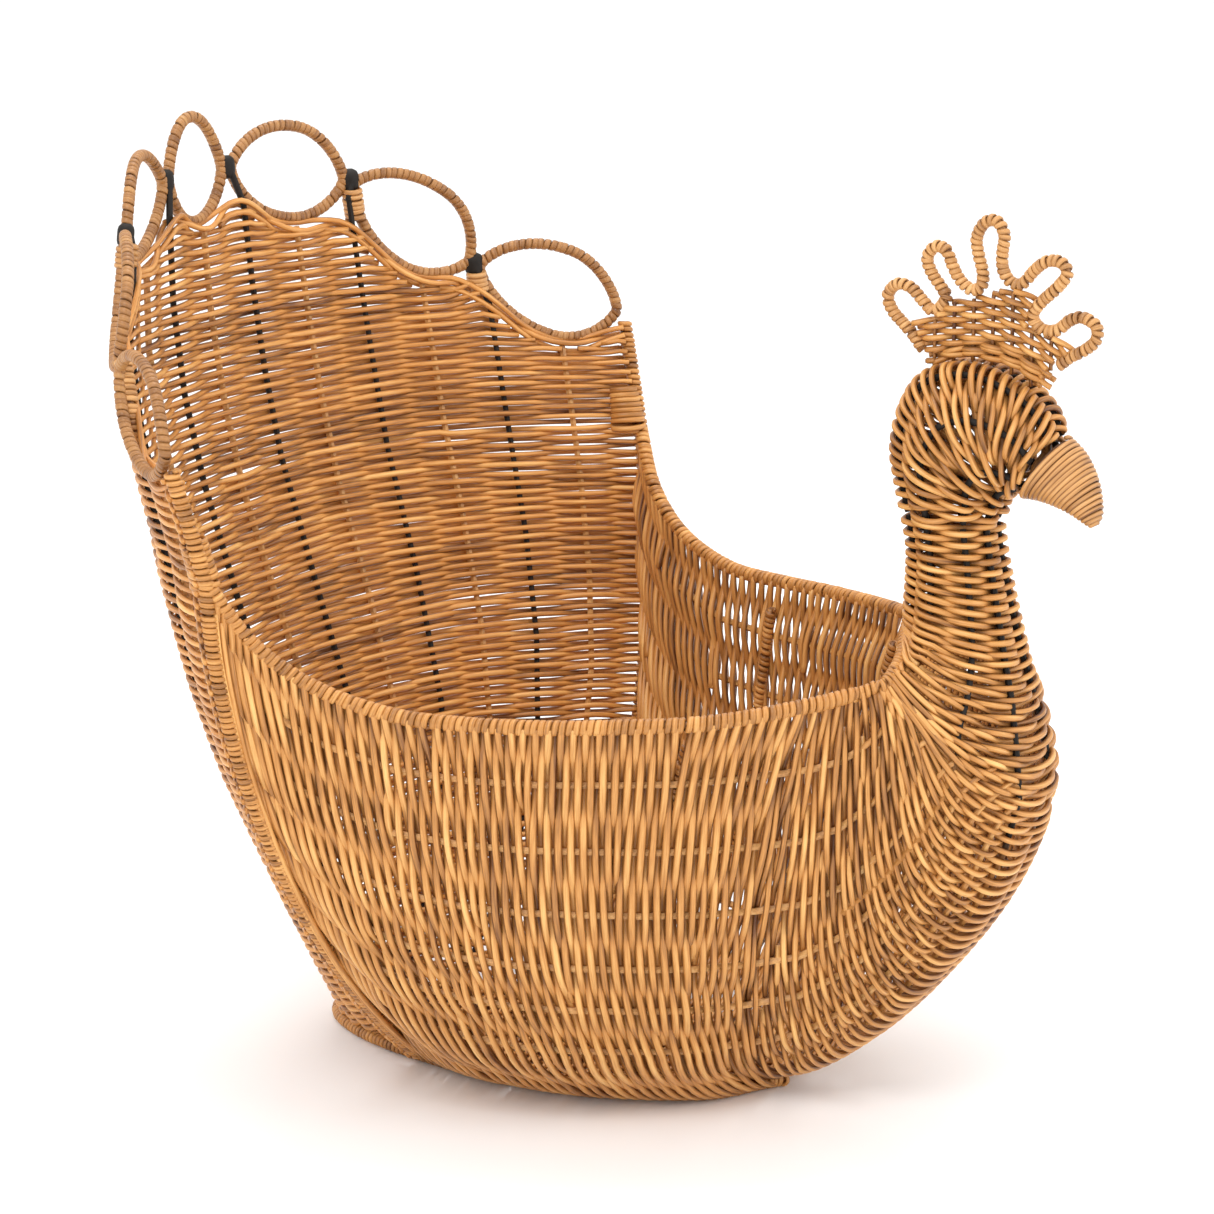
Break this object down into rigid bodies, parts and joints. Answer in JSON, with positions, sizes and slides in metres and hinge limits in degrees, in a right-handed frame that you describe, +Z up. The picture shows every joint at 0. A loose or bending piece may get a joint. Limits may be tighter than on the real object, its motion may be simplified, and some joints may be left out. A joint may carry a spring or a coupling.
{
  "type": "peacock-shaped basket",
  "caption": "Open woven cane basket shaped as a peacock, with a bowl body, a raised fan tail edged with wrapped wire loops, and a neck, crested head and wound beak.",
  "frame": {"origin": "middle of the flat underside of the base", "axes": "+X the way the bird looks, +Y to the bird's left, +Z up"},
  "size_m": [0.4376, 0.3782, 0.3993],
  "materials": {
    "natural_cane": "satin, honey-coloured split cane",
    "pale_cane": "satin, pale cane peel",
    "dark_cane": "satin, darker cane",
    "black_wire": "black, satin"
  },
  "bodies": {
    "root": {"base_hoop": "natural_cane", "base_panel": "natural_cane", "rim_left": "natural_cane", "rim_right": "natural_cane", "tail_post_left": "natural_cane", "tail_post_right": "natural_cane", "tail_loop_1": "pale_cane", "tail_loop_2": "pale_cane", "tail_loop_3": "pale_cane", "tail_loop_4": "pale_cane", "tail_loop_5": "pale_cane", "tail_loop_6": "pale_cane", "tail_loop_7": "pale_cane", "tail_panel": "dark_cane", "tail_stake_1": "natural_cane", "tail_stake_2": "natural_cane", "tail_stake_3": "natural_cane", "tail_stake_4": "natural_cane", "tail_stake_5": "natural_cane", "tail_stake_6": "natural_cane", "tail_stake_7": "natural_cane", "tail_wire_1": "black_wire", "tail_wire_2": "black_wire", "tail_wire_3": "black_wire", "tail_wire_4": "black_wire", "tail_wire_5": "black_wire", "tail_wire_6": "black_wire", "side_weave_left": "natural_cane", "side_weave_right": "natural_cane", "side_rod_left_1": "natural_cane", "side_rod_left_2": "natural_cane", "side_rod_left_3": "natural_cane", "side_rod_left_4": "natural_cane", "side_rod_left_5": "natural_cane", "side_rod_left_6": "natural_cane", "side_rod_right_1": "natural_cane", "side_rod_right_2": "natural_cane", "side_rod_right_3": "natural_cane", "side_rod_right_4": "natural_cane", "side_rod_right_5": "natural_cane", "side_rod_right_6": "natural_cane", "rib_rear_left": "natural_cane", "rib_rear_right": "natural_cane", "rib_front_left": "natural_cane", "rib_front_right": "natural_cane", "breast_weave": "natural_cane", "neck_weave": "natural_cane", "head_weave": "natural_cane", "neck_wire_left_1": "black_wire", "neck_wire_left_2": "black_wire", "neck_wire_left_3": "black_wire", "neck_wire_left_4": "black_wire", "neck_wire_right_1": "black_wire", "neck_wire_right_2": "black_wire", "neck_wire_right_3": "black_wire", "neck_wire_right_4": "black_wire", "beak_core": "natural_cane", "beak_wrap": "pale_cane", "crest_panel": "natural_cane", "crest_wire": "pale_cane"}
  },
  "joints": []
}
